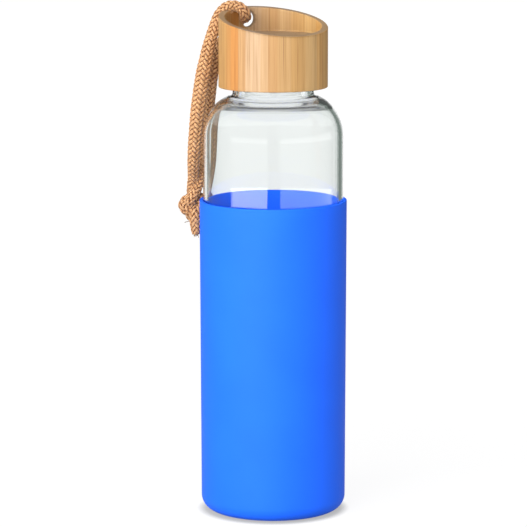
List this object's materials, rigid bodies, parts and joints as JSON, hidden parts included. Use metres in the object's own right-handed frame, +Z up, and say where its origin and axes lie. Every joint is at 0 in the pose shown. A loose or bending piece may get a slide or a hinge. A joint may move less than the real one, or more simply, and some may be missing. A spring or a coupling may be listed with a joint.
{
  "type": "water bottle",
  "caption": "Glass water bottle in a silicone sleeve, with a slant-cut wooden screw cap and a knotted carrying cord through the cap.",
  "frame": {"origin": "centre of the sleeve's foot, on the surface the bottle stands on", "axes": "+Z up along the bottle's axis; +Y towards the high side of the cap's slanted rim, where the cord hole is"},
  "size_m": [0.066, 0.0746, 0.232],
  "materials": {
    "sleeve_silicone": "matte",
    "bottle_glass": "polished",
    "cap_bamboo": "satin",
    "liner_plastic": "satin",
    "seal_silicone": "matte",
    "cord_braid": "woven"
  },
  "bodies": {
    "sleeve": {"silicone_sleeve": "sleeve_silicone"},
    "bottle": {"glass_bottle": "bottle_glass"},
    "seal": {"sealing_ring": "seal_silicone"},
    "cap": {"bamboo_cap": "cap_bamboo", "threaded_liner": "liner_plastic", "carry_cord": "cord_braid", "cord_knot": "cord_braid", "cord_tail_front": "cord_braid", "cord_tail_back": "cord_braid"}
  },
  "joints": [
    {"name": "glass_lift", "type": "slide", "parent": "sleeve", "child": "bottle", "axis": [0, 0, 1], "range_m": [0, 0.14]},
    {"name": "cap_lift", "type": "slide", "parent": "bottle", "child": "seal", "axis": [0, 0, 1], "range_m": [0, 0.00631]},
    {"name": "cap_turn", "type": "hinge", "parent": "seal", "child": "cap", "pos_m": [0, 0, 0.2], "axis": [0, 0, 1], "range_deg": [0, 540]}
  ],
  "couplings": [
    {"joint": "cap_lift", "follows": "cap_turn", "m_per_rad": 0.00066845}
  ]
}
